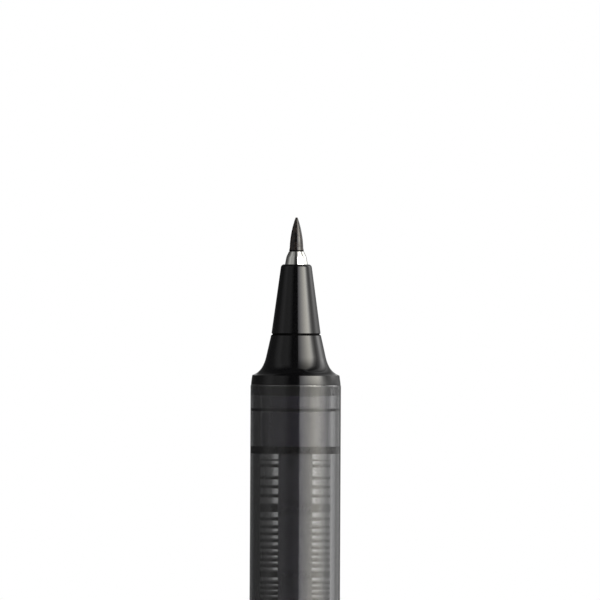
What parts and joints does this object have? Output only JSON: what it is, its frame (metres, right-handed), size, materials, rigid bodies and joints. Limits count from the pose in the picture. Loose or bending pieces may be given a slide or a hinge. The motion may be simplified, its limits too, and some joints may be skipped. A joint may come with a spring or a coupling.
{
  "type": "fineliner pen",
  "caption": "Fineliner pen with a fibre nib in a metal ferrule, a translucent liquid-ink barrel with a finned collector, and a clip cap pushed on the tail.",
  "frame": {"origin": "centre of the flat end face of the cap, on which the posted pen stands nib up", "axes": "+Z along the pen's axis from the cap's flat end to the nib, +X from the axis to the clip"},
  "size_m": [0.0151, 0.0126, 0.158],
  "materials": {
    "nib_fibre": "dense ink-soaked fibre",
    "steel": "polished",
    "black_gloss": "polished black",
    "collector_dark": "ink-wetted moulding",
    "smoke_clear": "clear smoke grey",
    "ink_black": "liquid",
    "liner_clear": "milky translucent"
  },
  "bodies": {
    "cap": {"cap_shell": "smoke_clear", "cap_liner": "liner_clear", "cap_end_plug": "black_gloss"},
    "pen": {"nib": "nib_fibre", "nib_ferrule": "steel", "nose_cone": "black_gloss", "front_section": "black_gloss", "collector": "collector_dark", "feed_rod": "nib_fibre", "barrel": "smoke_clear", "ink": "ink_black", "tail_plug": "black_gloss"},
    "clip": {"cap_clip": "steel"}
  },
  "joints": [
    {"name": "pen_lift", "type": "slide", "parent": "cap", "child": "pen", "axis": [0, 0, 1], "range_m": [0, 0.045]},
    {"name": "clip_flex", "type": "hinge", "parent": "cap", "child": "clip", "pos_m": [0.0058, 0, 0.00645], "axis": [0, 1, 0], "range_deg": [0, 4.5], "stiffness_Nm_per_rad": 0.4}
  ]
}
